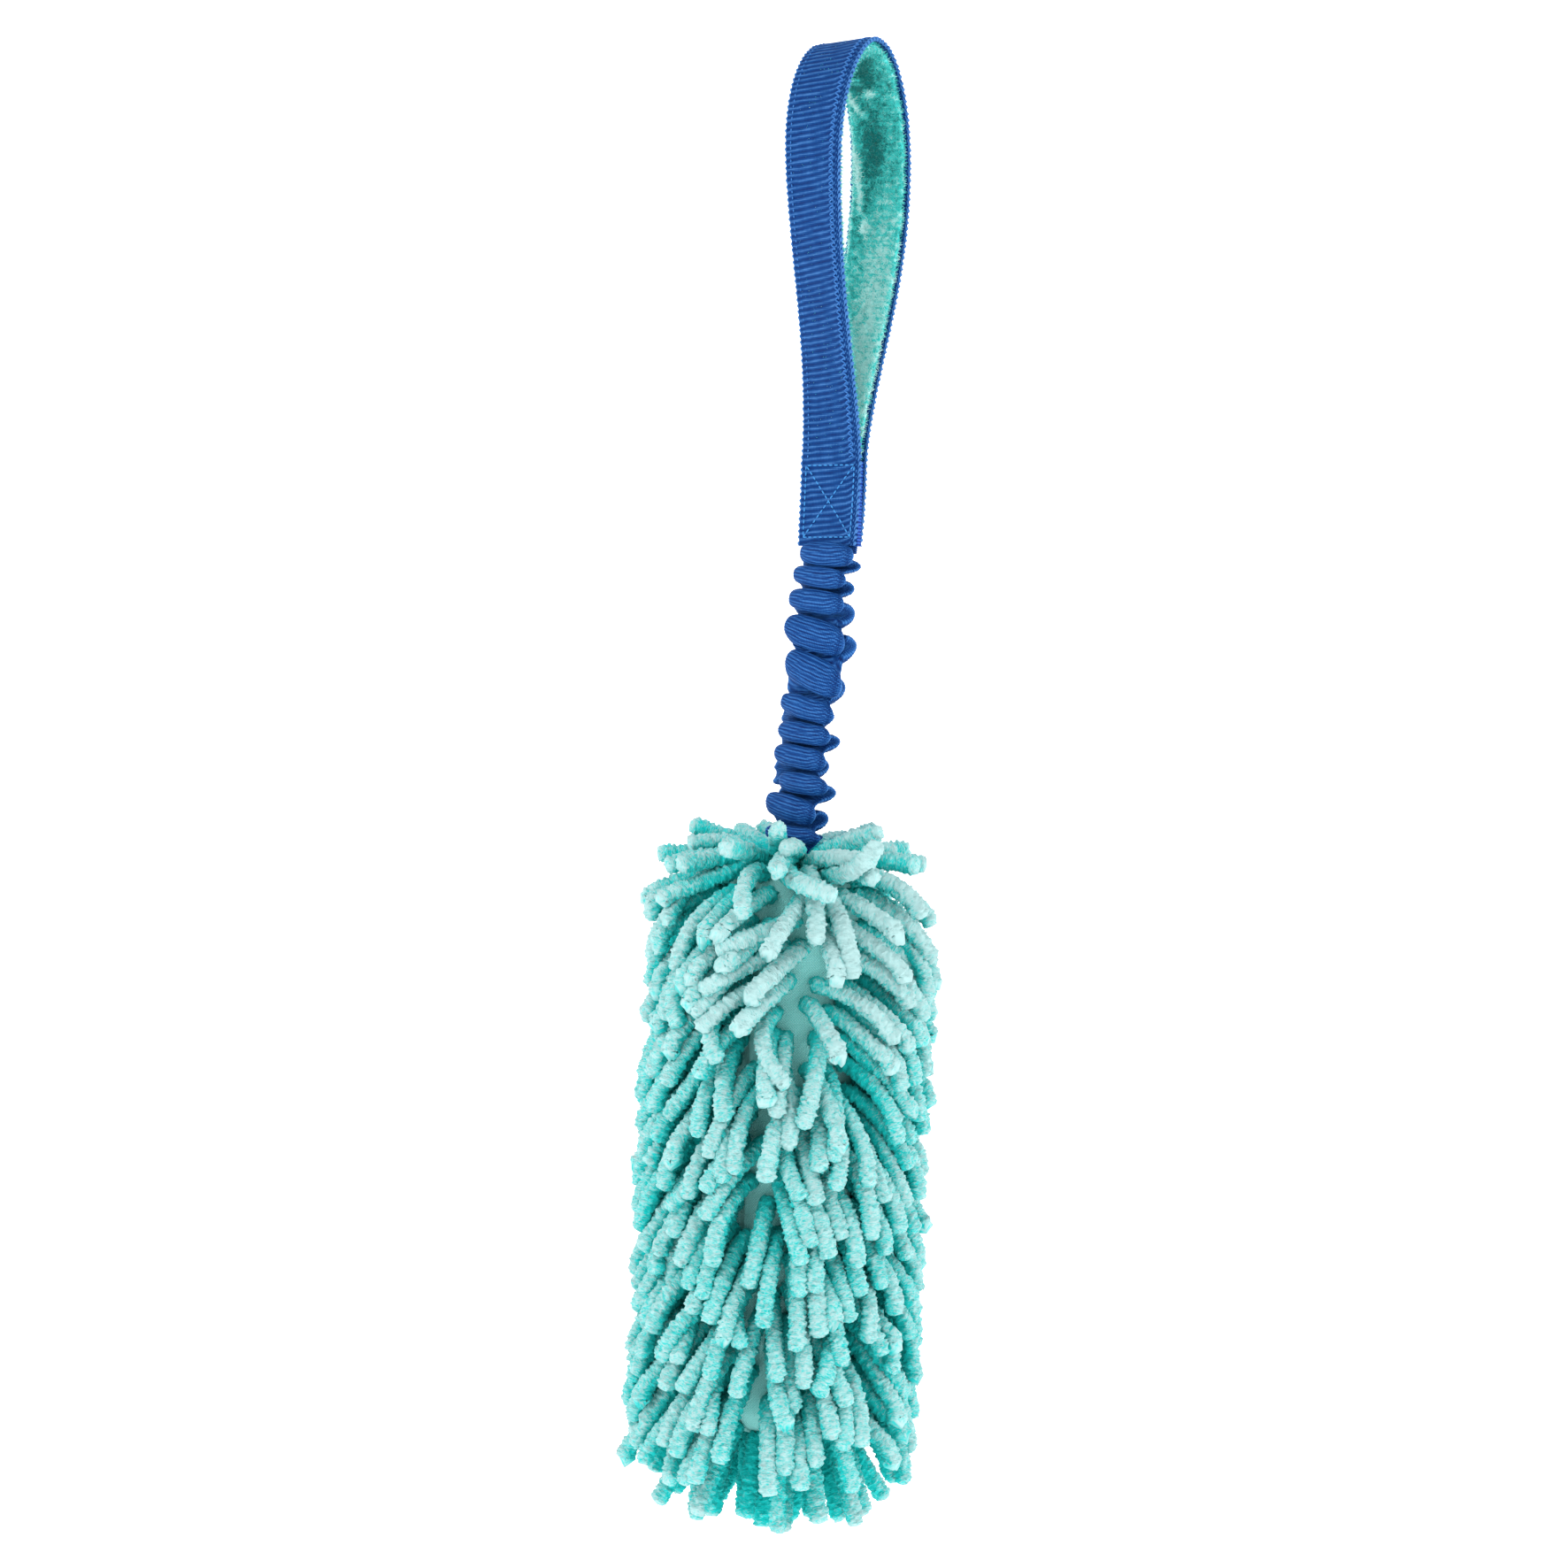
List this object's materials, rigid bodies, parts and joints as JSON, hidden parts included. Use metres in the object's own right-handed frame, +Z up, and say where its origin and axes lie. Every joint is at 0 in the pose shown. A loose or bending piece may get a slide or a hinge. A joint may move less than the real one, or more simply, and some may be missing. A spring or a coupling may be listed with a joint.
{
  "type": "bungee tug toy",
  "caption": "Dog tug toy: a plush-lined webbing hand loop, a box-stitched joint, a gathered elastic sleeve and a stuffed mop head covered in soft noodles.",
  "frame": {"origin": "inner top of the lined hand loop, where a hand or a hook holds it", "axes": "+Z up along the toy as it hangs; X across the webbing's width; the hand loop opens along X and is deep along Y, with its front strap at -Y"},
  "size_m": [0.1172, 0.1151, 0.5625],
  "materials": {
    "webbing": "ribbed woven polyester webbing, satin",
    "plush": "short plush pile",
    "blue_thread": "twisted sewing thread",
    "mint_thread": "twisted sewing thread",
    "elastic": "woven elastic, matte",
    "mop_noodles": "soft chenille pile, matte",
    "filling": "loose polyester fibre"
  },
  "bodies": {
    "handle": {"handle_webbing": "webbing", "handle_lining": "plush", "lining_stitch_left": "blue_thread", "lining_stitch_right": "blue_thread", "box_stitch_front": "blue_thread", "box_stitch_back": "blue_thread", "sleeve_sewn_end": "webbing", "elastic_upper_end": "elastic"},
    "bungee": {"bungee_sleeve": "webbing", "elastic_band": "elastic"},
    "neck": {"sleeve_neck": "webbing", "elastic_lower_end": "elastic"},
    "collar": {"neck_bar_tack": "blue_thread"},
    "mop": {"sleeve_sewn_tail": "webbing", "mouth_gather_thread": "mint_thread", "cover_seam_thread": "mint_thread", "base_closing_thread": "mint_thread", "mop_crown": "mop_noodles", "mop_band_1": "mop_noodles", "mop_band_2": "mop_noodles", "mop_band_3": "mop_noodles", "mop_band_4": "mop_noodles", "mop_base": "mop_noodles", "mop_filling": "filling"}
  },
  "joints": [
    {"name": "bungee_swing", "type": "hinge", "parent": "handle", "child": "bungee", "pos_m": [0, 0, -0.18725], "axis": [1, 0, 0], "range_deg": [-90, 90], "deforming": ["bungee_sleeve"]},
    {"name": "bungee_stretch", "type": "slide", "parent": "bungee", "child": "neck", "axis": [0, 0, -1], "range_m": [0, 0.14], "stiffness_N_per_m": 430, "springref_m": -0.003, "deforming": ["elastic_band", "elastic_lower_end"]},
    {"name": "mop_swing", "type": "hinge", "parent": "neck", "child": "collar", "pos_m": [-0.0129, 0, -0.306], "axis": [1, 0, 0], "range_deg": [-75, 75], "deforming": ["sleeve_neck"]},
    {"name": "mop_sway", "type": "hinge", "parent": "collar", "child": "mop", "pos_m": [-0.0129, 0, -0.306], "axis": [0, 1, 0], "range_deg": [-40, 40], "deforming": ["neck_bar_tack"]}
  ]
}
